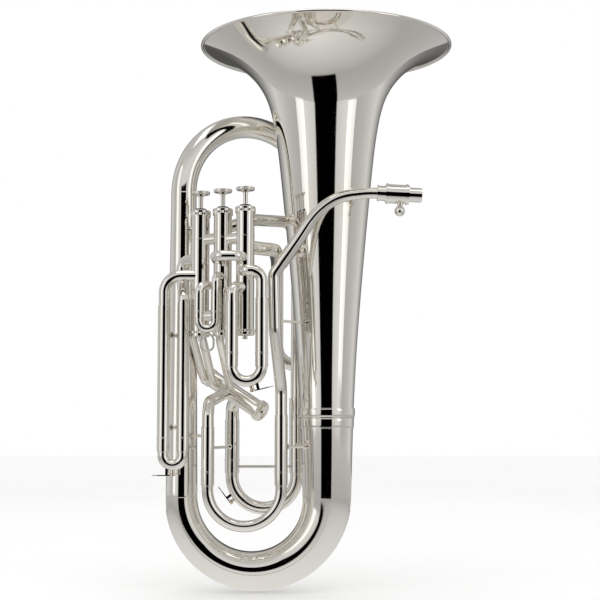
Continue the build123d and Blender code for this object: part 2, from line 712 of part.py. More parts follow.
def water_key(seat, out, along, name, size):
    """A water key: seat is on the bow's centre line, out leads away from it, along runs to the thumb plate."""
    frame = Plane(origin=seat, x_dir=along, z_dir=out)
    top = size["r"] - 0.3
    cutter = bow_space(size)
    nipple = Pos(0, 0, top - 1.0) * Cylinder(3.4, 5.0, align=(Align.CENTER, Align.CENTER, Align.MIN))
    nipple = nipple - Pos(0, 0, top - 2.0) * Cylinder(2.2, 8.0,
            align=(Align.CENTER, Align.CENTER, Align.MIN))
    nipple = frame * nipple - cutter
    hinge_x = 9.5
    hinge_z = top + 5.2
    ears = []
    for side in (-1, 1):
        post = Pos(hinge_x, side * 4.2, top - 4.6) * Box(4.4, 1.6, 12.0,
                align=(Align.CENTER, Align.CENTER, Align.MIN))
        post = post - Pos(hinge_x, 0, hinge_z) * Rot(90, 0, 0) * Cylinder(key_pin_r + 0.01, 14)
        ears.append(frame * post - cutter)
    pin = Pos(hinge_x, 0, hinge_z) * Rot(90, 0, 0) * Cylinder(key_pin_r, 12.4)
    barrel = Pos(hinge_x, 0, hinge_z) * Rot(90, 0, 0) * Cylinder(2.2, 6.4)
    arm = Pos(hinge_x - 4.0, 0, hinge_z + 2.45) * Box(14.0, 3.2, 1.8)
    arm = arm + Pos(hinge_x, 0, hinge_z + 1.4) * Box(3.2, 3.2, 2.4)
    cup = Pos(0, 0, top + 6.0) * Cylinder(4.4, 2.9, align=(Align.CENTER, Align.CENTER, Align.MIN))
    cup = cup - Pos(0, 0, top + 5.9) * Cylinder(3.7, 0.85, align=(Align.CENTER, Align.CENTER, Align.MIN))
    tail = Pos(hinge_x + key_lever_length / 2, 0, hinge_z + 2.6) * Box(key_lever_length, 3.0, 1.6)
    paddle = Pos(hinge_x + key_lever_length, 0, hinge_z + 1.8) * Cylinder(4.6, 1.7,
            align=(Align.CENTER, Align.CENTER, Align.MIN))
    paddle = fillet(paddle.edges(), 0.6)
    lever = barrel + arm + cup + tail + paddle
    lever = lever - Pos(hinge_x, 0, hinge_z) * Rot(90, 0, 0) * Cylinder(key_pin_r + hinge_fit, 14)
    cork = Pos(0, 0, top + 4.05) * Cylinder(3.65, 2.65, align=(Align.CENTER, Align.CENTER, Align.MIN))
    save([nipple] + ears + [frame * pin], name + "_saddle")
    save(frame * lever, name + "_lever")
    save(frame * cork, name + "_cork")
    hinge = frame.from_local_coords(Vector(hinge_x, 0, hinge_z))
    print(name, "hinge at", [round(v / 1000, 5) for v in hinge], "axis", [round(v, 5) for v in frame.y_dir])


first_mid = (first_slide["left"] + first_slide["right"]) / 2
third_mid = (third_slide["left"] + third_slide["right"]) / 2
first_half = (first_slide["right"] - first_slide["left"]) / 2 - 0.2
key_lean = math.radians(14.0)
lean_sin = math.sin(key_lean)
lean_cos = math.cos(key_lean)
first_corner = first_slide["bow_low"] + first_slide["r"] - 0.3
water_key((first_mid + first_half * lean_sin, first_slide["y"], first_corner + first_half * (1 - lean_cos)),
          (lean_sin, 0, -lean_cos), (lean_cos, 0, lean_sin), "first_water_key", first_slide)
water_key((third_mid, third_slide["y"], third_slide["bow_low"] + third_slide["r"] - 0.3),
          (0, 0, -1), (-1, 0, 0), "third_water_key", third_slide)
far_mid = (fourth_slide["left"] + fourth_slide["right"]) / 2
far_r = (fourth_slide["right"] - fourth_slide["left"]) / 2 - 0.2
far_centre = fourth_slide["bow_low"] + far_r + fourth_slide["r"] - 0.3
far_angle = math.radians(38.0)
water_key((far_mid - far_r * math.cos(far_angle), fourth_slide["y"], far_centre
        - far_r * math.sin(far_angle)),
          (-math.cos(far_angle), 0, -math.sin(far_angle)), (-math.sin(far_angle), 0, math.cos(far_angle)),
          "fourth_water_key", fourth_slide)

# ---------------------------------------------------------------- braces


def brace(start, end, start_r, end_r, r, cutters):
    """A round stay with a small foot at each end, cut to sit on what it joins."""
    bar = rod(start, end, r)
    a = Vector(*start)
    b = Vector(*end)
    way = (b - a).normalized()
    foot_a = rod(tuple(a + way * start_r), tuple(a + way * (start_r + 2.2)), r + 2.6)
    foot_b = rod(tuple(b - way * (end_r + 2.2)), tuple(b - way * end_r), r + 2.6)
    shape = bar + foot_a + foot_b
    for cutter in cutters:
        shape = shape - cutter
    return shape


def branch_radius(z):
    return branch_low_r + (branch_high_r - branch_low_r) * (z - bow_rise) / branch_height


def bell_plug(z):
    """The bell's volume near a height."""
    low = z - 15
    high = z + 15
    cone = Cone(bell_radius(low) + solder_gap, bell_radius(high) + solder_gap, 30,
            align=(Align.CENTER, Align.CENTER, Align.MIN))
    return Pos(bell_x, 0, low) * cone


def branch_plug(z):
    return Pos(branch_x, 0, z - 15) * Cone(branch_radius(z - 15) + solder_gap, branch_radius(z + 15)
            + solder_gap, 30,
                                           align=(Align.CENTER, Align.CENTER, Align.MIN))


def leg_plug(x, y, z, r):
    return upright(x, y, z - 15, z + 15, r + solder_gap)


main_sleeve_r = main_slide["r"] + slide_fit + sleeve_wall
fourth_sleeve_r = fourth_slide["r"] + slide_fit + sleeve_wall
third_sleeve_r = third_slide["r"] + slide_fit + sleeve_wall
braces = [
    brace((pipe_x + 0.6, -91, 446), (bell_x, 0, 446), main_slide["r"], bell_radius(446), 2.2,
          [tube_plug for tube_plug in (bell_plug(446),
                  rod((pipe_x, -92, 480), (pipe_x + 1, -90, 430), main_slide["r"] + solder_gap))]),
    brace((branch_x, 0, 258), (main_slide["left"], main_slide["y"], 258), branch_radius(258),
            main_sleeve_r, 2.4,
          [branch_plug(258), leg_plug(main_slide["left"], main_slide["y"], 258, main_sleeve_r)]),
    brace((main_slide["left"], main_slide["y"], 238), (fourth_slide["left"], fourth_slide["y"], 238),
          main_sleeve_r, fourth_sleeve_r, 2.4,
          [leg_plug(main_slide["left"], main_slide["y"], 238, main_sleeve_r),
           leg_plug(fourth_slide["left"], fourth_slide["y"], 238, fourth_sleeve_r)]),
    brace((main_slide["right"], main_slide["y"], 240), (bell_x, 0, 240), main_sleeve_r,
            bell_radius(240), 2.6,
          [bell_plug(240), leg_plug(main_slide["right"], main_slide["y"], 240, main_sleeve_r)]),
    brace((fourth_slide["right"], fourth_slide["y"], 244), (bell_x, 0, 244), fourth_sleeve_r,
            bell_radius(244), 2.6,
          [bell_plug(244), leg_plug(fourth_slide["right"], fourth_slide["y"], 244, fourth_sleeve_r)]),
    brace((branch_x, 0, 606), at(valve_3, 606), branch_radius(606), casing_r, 2.2,
          [branch_plug(606), envelope(3)]),
    brace((168, leadpipe_y, 653.4), (bell_x, 0, 642), 9.0, bell_radius(642), 2.4,
          [bell_plug(642), rod((204, leadpipe_y, 655.2), (144, leadpipe_y, 650.5), 10.4)]),
]
for z in (272.0, 425.0):
    braces.append(brace((third_slide["left"] + 8, third_slide["y"] + 8, z), (branch_x, 0, z),
                        8.0, branch_radius(z), 2.2,
                        [branch_plug(z), leg_plug(third_slide["left"], third_slide["y"], z, third_sleeve_r),
                         leg_plug(third_slide["right"], third_slide["y"], z, third_sleeve_r)]))

ferrules = []
for z in (bow_rise + ferrule_length, branch_top - 1.0):
    r = branch_radius(z - ferrule_length) + solder_gap
    r_high = branch_radius(z) + solder_gap
    outer = Cone(r + ferrule_thickness, r_high + ferrule_thickness, ferrule_length,
                 align=(Align.CENTER, Align.CENTER, Align.MIN))
    inner = Cone(r, r_high, ferrule_length, align=(Align.CENTER, Align.CENTER, Align.MIN))
    ferrules.append(Pos(branch_x, 0, z - ferrule_length) * (outer - inner))
ferrules.append(ring_tube(back_x, back_y, back_low - 6.0, back_low - 0.5, back_tube_r + 0.8,
        back_tube_r + solder_gap))

save([bell_shell, rim_wire], "bell")
save(bell_ferrule, "bell_ferrule")
save(bottom_bow, "bottom_bow")
save(bow_guard, "bow_guard")
save(left_branch, "left_branch")
save(top_bow, "top_bow")
save([back_cone, back_bow], "back_branch")
save(exit_bend, "exit_bend")
save(ferrules, "branch_ferrules")
save(leadpipe, "leadpipe")
save(lower_mouthpipe, "lower_mouthpipe")
save(valve_knuckles, "valve_knuckles")
save(fourth_knuckles, "fourth_valve_knuckles")
save(connecting, "connecting_tubes")
save(return_branch, "fourth_return_branch")
save([casings[1], casings[2], casings[3]], "valve_casings")
save(casings[4], "fourth_valve_casing")
save(top_caps, "top_caps")
save(bottom_caps, "bottom_caps")
save(braces, "braces")
save(felts, "cap_felts")
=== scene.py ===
import json
import math

import bmesh
import bpy
import numpy as np
from mathutils import Matrix, Vector


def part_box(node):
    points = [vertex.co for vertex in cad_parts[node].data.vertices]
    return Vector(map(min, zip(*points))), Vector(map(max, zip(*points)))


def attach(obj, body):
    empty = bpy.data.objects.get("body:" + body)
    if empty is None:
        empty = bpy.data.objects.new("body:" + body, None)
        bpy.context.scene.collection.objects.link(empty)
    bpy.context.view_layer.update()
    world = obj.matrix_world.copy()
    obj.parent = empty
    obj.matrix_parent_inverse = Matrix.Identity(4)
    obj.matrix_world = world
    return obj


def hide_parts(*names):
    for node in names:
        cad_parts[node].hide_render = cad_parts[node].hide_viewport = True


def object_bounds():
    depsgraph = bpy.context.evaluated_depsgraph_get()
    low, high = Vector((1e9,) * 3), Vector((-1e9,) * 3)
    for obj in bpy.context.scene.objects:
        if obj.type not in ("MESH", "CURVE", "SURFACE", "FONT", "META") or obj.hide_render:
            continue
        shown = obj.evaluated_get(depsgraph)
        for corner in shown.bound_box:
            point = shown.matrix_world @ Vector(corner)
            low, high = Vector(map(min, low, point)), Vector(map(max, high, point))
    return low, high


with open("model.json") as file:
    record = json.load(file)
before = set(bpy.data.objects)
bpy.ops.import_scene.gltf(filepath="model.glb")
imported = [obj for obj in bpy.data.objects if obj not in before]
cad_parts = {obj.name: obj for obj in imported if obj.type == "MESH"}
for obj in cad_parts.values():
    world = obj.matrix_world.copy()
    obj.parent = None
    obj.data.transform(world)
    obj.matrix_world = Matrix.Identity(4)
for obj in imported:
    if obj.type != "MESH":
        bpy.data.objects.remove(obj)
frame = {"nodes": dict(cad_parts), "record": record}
CAD_LOW, CAD_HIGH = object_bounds()

bl_info = {
    "name": "Silver tuba finish",
    "version": (1, 0, 0),
    "blender": (4, 5, 0),
    "location": "3D View > Sidebar > Tuba",
    "description": "Smooth shells, fittings, finishes and a studio for the tuba frame",
    "category": "Object",
}

NODES = frame["nodes"]
TAU = 2 * math.pi

# The bell's flare below its rim, as (radius, depth), in metres.
FLARE = ((0.172, 0.016), (0.136, 0.042), (0.1055, 0.084), (0.0895, 0.139), (0.077, 0.235), (0.0625, 0.386),
         (0.049, 0.560))
BELL_POINTS = 150
BEAD_STEPS = 20
UPRIGHT_RINGS = 24
# How much of the bottom bow's narrowing is done half way round.
BOW_NARROWING_HALF_WAY = 0.608
# Where the bell ferrule's two bands meet, as a share of its height.
FERRULE_SPLIT = 0.53
SOLDER_GAP = 0.00005
JOINT_LIFT = 0.00012
JOINT_GAP = 0.0002
# The milled bands, as (low, high) from the top of the caps and from the foot of the casings.
TOP_MILLING = (-0.0088, -0.0045)
FOOT_MILLING = (0.0012, 0.0052)
CAP_TEETH = 40
TOOTH_DEPTH = 0.00045
TOOTH_CHAMFER = 0.0005
TOOTH_TAPER = 0.0004
# How softly the dark part of the walls ends, in radians.
DARK_EDGE = 0.03
# Metres from the foot at which the dark part of the floor starts and is full.
DARK_FLOOR = (0.98, 1.04)
# Each soft box: name, place, target, width and height, and power in watts.
SOFT_BOXES = (
    ("left box", (-2.2, -1.5, 1.2), (0, 0, 0.5), (0.9, 2.4), 3),
    ("right box", (2.2, -1.5, 1.3), (0, 0, 0.5), (0.9, 2.4), 3),
    ("top box", (0.1, -0.4, 3.0), (0.1, 0, 0.5), (2.0, 2.0), 11),
)


# ------------------------------------------------------------------ user sizes and colours

class TubaShape(bpy.types.PropertyGroup):
    """Sizes of the shells that are drawn new."""
    sheet: bpy.props.FloatProperty(name="Sheet", description="Wall of the bell and bows", default=0.0007,
                                   unit="LENGTH")
    bead: bpy.props.FloatProperty(name="Rim bead", description="Radius of the rolled rim", default=0.0028,
                                  unit="LENGTH")
    throat: bpy.props.FloatProperty(name="Throat", description="Bell radius where it meets the bow",
                                    default=0.041, unit="LENGTH")
    branch_low: bpy.props.FloatProperty(name="Branch foot", description="Left branch radius at its foot",
                                        default=0.0265, unit="LENGTH")
    branch_high: bpy.props.FloatProperty(name="Branch head", description="Left branch radius at its head",
                                         default=0.0215, unit="LENGTH")
    top_end: bpy.props.FloatProperty(name="Top bow end", description="Top bow radius behind the bell",
                                     default=0.0165, unit="LENGTH")
    ferrule_lift: bpy.props.FloatProperty(name="Ferrule lift", description="How far the ferrule stands out",
                                          default=0.0021, unit="LENGTH")
    joint_band: bpy.props.FloatProperty(name="Joint band", description="Length of the joint bands",
                                        default=0.014, unit="LENGTH")
    ring_height: bpy.props.FloatProperty(name="Ring height", description="Height of a slide ring",
                                         default=0.0024, unit="LENGTH")
    ring_lift: bpy.props.FloatProperty(name="Ring lift", description="How far a slide ring stands out",
                                       default=0.0006, unit="LENGTH")
    casing: bpy.props.FloatProperty(name="Casing", description="Radius of a valve casing", default=0.01475,
                                    unit="LENGTH")
    cap: bpy.props.FloatProperty(name="Cap", description="Radius of a valve cap", default=0.0164,
                                 unit="LENGTH")
    casing_joint_drop: bpy.props.FloatProperty(name="Casing joint", unit="LENGTH", default=0.049,
                                               description="Joint below the top of the caps")
    bell_steps: bpy.props.IntProperty(name="Bell steps", description="Faces round the bell", default=192)
    round_steps: bpy.props.IntProperty(name="Round steps", description="Faces round a large tube",
                                       default=128)
    bow_steps: bpy.props.IntProperty(name="Bow steps", description="Rings along a bow", default=72)


class TubaFinish(bpy.types.PropertyGroup):
    """Colours and polish."""
    silver: bpy.props.FloatVectorProperty(name="Silver", description="Polished plate", subtype="COLOR",
                                          default=(0.93, 0.90, 0.845))
    tarnish: bpy.props.FloatVectorProperty(name="Warm silver", description="Plate that has warmed a little",
                                           subtype="COLOR", default=(0.86, 0.80, 0.71))
    polish: bpy.props.FloatProperty(name="Polish", description="Roughness of the bright plate", default=0.045)
    felt: bpy.props.FloatVectorProperty(name="Felt", description="Cap washers", subtype="COLOR",
                                        default=(0.035, 0.035, 0.038))
    cork: bpy.props.FloatVectorProperty(name="Cork", description="Water key pads", subtype="COLOR",
                                        default=(0.46, 0.29, 0.15))


class TubaStudio(bpy.types.PropertyGroup):
    """Camera and lights."""
    camera_place: bpy.props.FloatVectorProperty(name="Camera", description="Camera place", subtype="XYZ",
                                                default=(0.077, -2.205, 0.2946), unit="LENGTH")
    camera_tilt: bpy.props.FloatProperty(name="Tilt", description="Camera tilt above level",
                                         default=math.radians(5.0), subtype="ANGLE")
    lens: bpy.props.FloatProperty(name="Lens", description="Lens in millimetres", default=78.0)
    dark_angle: bpy.props.FloatProperty(name="Dark half angle", description="Degrees of dark wall each side",
                                        default=23.0)
    dark_height: bpy.props.FloatProperty(name="Dark height", description="Top of the dark wall",
                                         default=1.55, unit="LENGTH")
    ring_radius: bpy.props.FloatProperty(name="Wall radius", description="Distance of the soft walls",
                                         default=3.4, unit="LENGTH")
    ring_height: bpy.props.FloatProperty(name="Wall height", description="Height of the soft walls",
                                         default=4.2, unit="LENGTH")
    sky: bpy.props.FloatProperty(name="Sky", description="Strength of the even light", default=1.0)


# ------------------------------------------------------------------ shader expressions

class Wire:
    """A node socket that takes part in Python expressions."""

    def __init__(self, mat, socket):
        self.mat = mat
        self.socket = socket

    def _math(self, operation, a, b=None):
        values = {0: a}
        if b is not None:
            values[1] = b
        return self.mat.node("ShaderNodeMath", {"operation": operation}, values).out(0)

    def __add__(self, other):
        return self._math("ADD", self, other)

    __radd__ = __add__

    def __mul__(self, other):
        return self._math("MULTIPLY", self, other)

    __rmul__ = __mul__

    def __sub__(self, other):
        return self._math("SUBTRACT", self, other)

    def __rsub__(self, other):
        return self._math("SUBTRACT", other, self)

    def __pow__(self, other):
        return self._math("POWER", self, other)

    def clamp(self, low=0.0, high=1.0):
        return self.mat.node("ShaderNodeClamp", {}, {"Value": self, "Min": low, "Max": high}).out(0)


class NodeHandle:
    """A made node, which hands out its outputs."""

    def __init__(self, mat, node):
        self.mat = mat
        self.raw = node

    def out(self, key=0):
        return Wire(self.mat, self.raw.outputs[key])


class Finish:
    """One procedural material."""

    def __init__(self, name):
        self.material = bpy.data.materials.new(name)
        self.material.use_nodes = True
        self.tree = self.material.node_tree
        self.tree.nodes.clear()
        self.output = self.tree.nodes.new("ShaderNodeOutputMaterial")

    def node(self, kind, settings, values):
        """Make one node, with its settings, and set or link its sockets."""
        made = self.tree.nodes.new(kind)
        for key, value in settings.items():
            if key == "stops":
                ramp = made.color_ramp
                while len(ramp.elements) < len(value):
                    ramp.elements.new(0.5)
                for element, (place, colour) in zip(ramp.elements, value):
                    element.position = place
                    element.color = (*colour, 1.0)
            else:
                setattr(made, key, value)
        for key, value in values.items():
            socket = made.inputs[key]
            if isinstance(value, Wire):
                self.tree.links.new(value.socket, socket)
            else:
                socket.default_value = value
        return NodeHandle(self, made)

    def place(self, scale=(1.0, 1.0, 1.0)):
        """Object coordinates, stretched."""
        coordinates = self.node("ShaderNodeTexCoord", {}, {}).out("Object")
        return self.node("ShaderNodeMapping", {}, {"Vector": coordinates, "Scale": scale}).out(0)

    def noise(self, size, detail=3.0, scale=(1.0, 1.0, 1.0), rough=0.55):
        return self.node("ShaderNodeTexNoise", {}, {
            "Vector": self.place(scale), "Scale": size, "Detail": detail, "Roughness": rough}).out(0)

    def mix(self, factor, a, b):
        pad_a = a if isinstance(a, Wire) else (*a, 1.0)
        pad_b = b if isinstance(b, Wire) else (*b, 1.0)
        return self.node("ShaderNodeMix", {"data_type": "RGBA"}, {0: factor, 6: pad_a, 7: pad_b}).out(2)

    def range(self, value, low, high, to_low, to_high):
        return self.node("ShaderNodeMapRange", {}, {
            "Value": value, "From Min": low, "From Max": high, "To Min": to_low, "To Max": to_high}).out(0)

    def bump(self, height, strength, distance):
        return self.node("ShaderNodeBump", {}, {
            "Height": height, "Strength": strength, "Distance": distance}).out(0)

    def finished(self, shader):
        self.tree.links.new(shader.raw.outputs[0], self.output.inputs[0])
        return self.material

    def surface(self, values):
        return self.finished(self.node("ShaderNodeBsdfPrincipled", {}, values))

    def glow(self, colour):
        return self.finished(self.node("ShaderNodeEmission", {}, {"Color": colour, "Strength": 1.0}))

    def greys(self, factor, bands):
        """A ramp of greys from (place, level) pairs."""
        stops = [(place, (level, level, level)) for place, level in bands]
        return self.node("ShaderNodeValToRGB", {"stops": stops}, {"Fac": factor}).out(0)

    def around(self):
        """Object coordinates, and the turn away from the camera's side, from 0 to pi on both hands."""
        split = self.node("ShaderNodeSeparateXYZ", {}, {
            "Vector": self.node("ShaderNodeTexCoord", {}, {}).out("Object")})
        x, y, z = split.out("X"), split.out("Y"), split.out("Z")
        across = self.node("ShaderNodeMath", {"operation": "ABSOLUTE"}, {0: x}).out(0)
        turn = self.node("ShaderNodeMath", {"operation": "ARCTAN2"}, {0: across, 1: y * -1.0}).out(0)
        return x, y, z, turn

    def dark_sector(self, turn, studio):
        """One inside the dark angle by the camera, nought outside it."""
        edge = math.radians(studio.dark_angle)
        return self.range(turn, edge, edge + DARK_EDGE, 1.0, 0.0).clamp()


def silver_finish(name, polish, colour, warm, warm_share):
    """Bright plate: faint warm clouding, buffing haze and hairline marks."""
    mat = Finish(name)
    cloud = mat.noise(9.0, 4.0)
    clouding = mat.range(cloud, 0.45, 0.75, 0.0, warm_share).clamp()
    hairline = mat.noise(260.0, 2.0, (1.0, 1.0, 0.06))
    haze = mat.noise(34.0, 5.0)
    marks = mat.range(haze, 0.4, 0.8, 0.0, 0.035) + mat.range(hairline, 0.55, 0.8, 0.0, 0.02)
    rough = (marks + polish).clamp()
    ripple = mat.bump(mat.noise(22.0, 2.0), 0.06, 0.0006)
    return mat.surface({
        "Base Color": mat.mix(clouding, colour, warm),
        "Metallic": 1.0,
        "Roughness": rough,
        "Normal": ripple,
    })


def alloy_finish(name):
    """Ground nickel alloy of the pistons, with turning marks."""
    mat = Finish(name)
    marks = mat.noise(90.0, 3.0, (1.0, 1.0, 14.0))
    return mat.surface({
        "Base Color": mat.mix(mat.noise(30.0), (0.62, 0.61, 0.585), (0.72, 0.71, 0.69)),
        "Metallic": 1.0,
        "Roughness": mat.range(marks, 0.3, 0.7, 0.16, 0.34),
        "Normal": mat.bump(marks, 0.12, 0.0001),
    })


def wire_finish(name):
    """Drawn spring wire."""
    mat = Finish(name)
    streak = mat.noise(400.0, 2.0)
    return mat.surface({
        "Base Color": mat.mix(streak, (0.36, 0.36, 0.37), (0.55, 0.54, 0.52)),
        "Metallic": 1.0,
        "Roughness": mat.range(streak, 0.3, 0.7, 0.22, 0.42),
    })


def felt_finish(name, colour):
    """Pressed wool felt."""
    mat = Finish(name)
    fibre = mat.noise(900.0, 6.0, rough=0.7)
    lift = [min(1.0, c * 2.4) for c in colour]
    return mat.surface({
        "Base Color": mat.mix(fibre, colour, lift),
        "Roughness": 0.95,
        "Normal": mat.bump(fibre, 0.6, 0.0006),
    })


def cork_finish(name, colour):
    """Natural cork with dark pores."""
    mat = Finish(name)
    grain = mat.noise(420.0, 5.0, rough=0.7)
    pores = mat.range(mat.noise(1100.0, 3.0), 0.6, 0.72, 0.0, 0.85).clamp()
    light = [min(1.0, c * 1.5) for c in colour]
    dark = [c * 0.35 for c in colour]
    return mat.surface({
        "Base Color": mat.mix(pores, mat.mix(grain, colour, light), dark),
        "Roughness": mat.range(grain, 0.3, 0.7, 0.7, 0.92),
        "Normal": mat.bump(grain, 0.5, 0.0004),
    })


def floor_finish(name):
    """Matt pale sweep."""
    mat = Finish(name)
    mottle = mat.noise(3.0, 2.0)
    return mat.surface({
        "Base Color": mat.mix(mottle, (0.93, 0.93, 0.925), (0.96, 0.96, 0.955)),
        "Roughness": 0.9,
    })


def ring_finish(name, studio):
    """Glowing studio walls: dark by the camera, then bright and grey bands round to the back."""
    mat = Finish(name)
    z, turn = mat.around()[2:]
    dark = studio.dark_angle
    bands = ((dark - 1.0, 0.0), (dark + 1.0, 0.62), (50.0, 0.76), (66.0, 0.44), (88.0, 0.50), (118.0, 0.66),
             (146.0, 0.30), (165.0, 0.08))
    walls = mat.greys(turn * (1 / math.pi), [(angle / 180.0, level) for angle, level in bands])
    above = mat.range(z, studio.dark_height, studio.dark_height + 0.08, 0.0, 1.0).clamp()
    lit = mat.mix(mat.dark_sector(turn, studio) * above, walls, (0.68, 0.68, 0.68))
    rise = mat.range(z, studio.ring_height * 0.55, studio.ring_height * 0.98, 0.0, 1.0).clamp()
    return mat.glow(mat.mix(rise, lit, (0.52, 0.52, 0.52)))


def floor_glow_finish(name, studio):
    """The floor as the plate mirrors it: pale by the foot, grey further out, dark towards the camera."""
    mat = Finish(name)
    x, y, _, turn = mat.around()
    reach = (x * x + y * y) ** 0.5
    bands = ((0.0, 0.78), (0.12, 0.62), (0.3, 0.40), (1.0, 0.52))
    levels = mat.greys(reach * (1 / studio.ring_radius), bands)
    beyond = mat.range(reach, *DARK_FLOOR, 0.0, 1.0).clamp()
    return mat.glow(mat.mix(mat.dark_sector(turn, studio) * beyond, levels, (0.0, 0.0, 0.0)))


_finishes = {}


def finish_for(slot):
    """The material for a record slot, made once."""
    if slot in _finishes:
        return _finishes[slot]
    look = bpy.context.scene.tuba_finish
    silver = tuple(look.silver)
    warm = tuple(look.tarnish)
    makers = {
        "silver_plate": lambda: silver_finish("silver plate", look.polish, silver, warm, 0.35),
        "slide_silver": lambda: silver_finish("drawn silver", look.polish + 0.02, silver, warm, 0.5),
        "valve_alloy": lambda: alloy_finish("valve alloy"),
        "spring_steel": lambda: wire_finish("spring wire"),
        "felt": lambda: felt_finish("black felt", tuple(look.felt)),
        "cork": lambda: cork_finish("cork", tuple(look.cork)),
    }
    _finishes[slot] = makers[slot]()
    return _finishes[slot]


# ------------------------------------------------------------------ mesh helpers

SLOT_OF = {entry["node"]: entry["material_slot"] for entry in frame["record"]["subparts"]}
BODY_OF = {node: body for body, nodes in frame["record"]["behaviour"]["bodies"].items() for node in nodes}


def add_piece(mesh, name, body, slot, nodes=(), crisp=32.0):
    """Turn a bmesh into a piece that rides on a body and stands for CAD nodes."""
    limit = math.radians(crisp)
    for edge in mesh.edges:
        edge.smooth = edge.calc_face_angle(0.0) < limit
    for face in mesh.faces:
        face.smooth = True
    data = bpy.data.meshes.new(name)
    mesh.to_mesh(data)
    mesh.free()
    piece = bpy.data.objects.new(name, data)
    bpy.context.scene.collection.objects.link(piece)
    data.materials.append(finish_for(slot))
    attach(piece, body)
    if nodes:
        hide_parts(*nodes)
    return piece


def smooth_shell(node):
    """A merged, smooth copy of a CAD node, with its hard edges kept."""
    mesh = bmesh.new()
    mesh.from_mesh(NODES[node].data)
    bmesh.ops.remove_doubles(mesh, verts=mesh.verts, dist=0.000002)
    return add_piece(mesh, node + "_shell", BODY_OF[node], SLOT_OF[node], [node])


def closed(mesh):
    """Make the faces of a closed shape point outwards."""
    bmesh.ops.recalc_face_normals(mesh, faces=mesh.faces)
    return mesh


def walled(mesh, inside, thickness):
    """Thicken an open skin towards a point inside its first ring."""
    bmesh.ops.recalc_face_normals(mesh, faces=mesh.faces)
    mesh.faces.ensure_lookup_table()
    nearest = min(mesh.faces, key=lambda face: (face.calc_center_median() - inside).length)
    if nearest.normal.dot(nearest.calc_center_median() - inside) < 0:
        bmesh.ops.reverse_faces(mesh, faces=mesh.faces)
    bmesh.ops.solidify(mesh, geom=mesh.faces[:], thickness=thickness)
    return mesh


def ring_skin(stations, steps):
    """A skin through circles: each station is a centre, a heading and a radius."""
    mesh = bmesh.new()
    previous = None
    for centre, heading, side, radius in stations:
        third = heading.cross(side)
        turn = Matrix((side, third, heading)).transposed().to_4x4()
        place = Matrix.Translation(centre) @ turn
        made = bmesh.ops.create_circle(mesh, segments=steps, radius=radius, matrix=place)
        edges = list({edge for vert in made["verts"] for edge in vert.link_edges})
        if previous:
            bmesh.ops.bridge_loops(mesh, edges=previous + edges)
        previous = edges
    return mesh


def spun(profile, centre, steps):
    """Spin a profile of (radius, height) points round an upright axis."""
    mesh = bmesh.new()
    verts = [mesh.verts.new((centre[0] + r, centre[1], z)) for r, z in profile]
    edges = [mesh.edges.new(pair) for pair in zip(verts, verts[1:])]
    bmesh.ops.spin(mesh, geom=verts + edges, cent=(*centre, 0.0), axis=(0, 0, 1), angle=TAU, steps=steps,
                   use_merge=True)
    bmesh.ops.remove_doubles(mesh, verts=mesh.verts, dist=0.000001)
    return mesh


def fair_curve(points, count):
    """Points along a natural cubic through the stations."""
    spots = np.array(points)
    gaps = np.linalg.norm(np.diff(spots, axis=0), axis=1)
    t = np.concatenate(([0.0], np.cumsum(gaps)))
    n = len(t)
    system = np.eye(n)
    right = np.zeros((n, spots.shape[1]))
    for i in range(1, n - 1):
        system[i, i - 1] = gaps[i - 1]
        system[i, i] = 2 * (gaps[i - 1] + gaps[i])
        system[i, i + 1] = gaps[i]
        right[i] = 6 * ((spots[i + 1] - spots[i]) / gaps[i] - (spots[i] - spots[i - 1]) / gaps[i - 1])
    bend = np.linalg.solve(system, right)
    made = []
    for s in np.linspace(0.0, t[-1], count):
        i = min(int(np.searchsorted(t, s, side="right")) - 1, n - 2)
        h = gaps[i]
        a = (t[i + 1] - s) / h
        b = (s - t[i]) / h
        value = a * spots[i] + b * spots[i + 1]
        value = value + ((a ** 3 - a) * bend[i] + (b ** 3 - b) * bend[i + 1]) * h * h / 6
        made.append(value)
    return made


# ------------------------------------------------------------------ the pieces

def bell_shape(shape):
    """The bell's axis, mouth radius, rim height and outline from the rim down to the throat."""
    low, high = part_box("bell")
    centre = ((low.x + high.x) / 2, (low.y + high.y) / 2)
    mouth = (high.x - low.x) / 2
    length = high.z - low.z
    stations = [(mouth - shape.bead, 0.0), *FLARE, (shape.throat, length)]
    top = high.z - shape.bead
    stations = [(r, top - depth * (length - shape.bead) / length) for r, depth in stations]
    return centre, mouth, top, fair_curve(stations, BELL_POINTS)


def band(mesh, centre, low, high, radius, lift, depth=0.0004, steps=64):
    """Add a rounded ring to a mesh, round an upright tube whose radius is a function of height."""
    middle = (low + high) / 2
    profile = [(radius(low) - depth, low)]
    for i in range(9):
        a = math.pi * i / 8
        z = middle - (high - low) / 2 * math.cos(a)
        profile.append((radius(z) + lift * min(1.0, 1.6 * math.sin(a)), z))
    profile.append((radius(high) - depth, high))
    profile.append(profile[0])
    verts = [mesh.verts.new((centre[0] + r, centre[1], z)) for r, z in profile[:-1]]
    edges = [mesh.edges.new(pair) for pair in zip(verts, verts[1:] + verts[:1])]
    bmesh.ops.spin(mesh, geom=verts + edges, cent=(*centre, 0.0), axis=(0, 0, 1), angle=TAU, steps=steps,
                   use_merge=True)


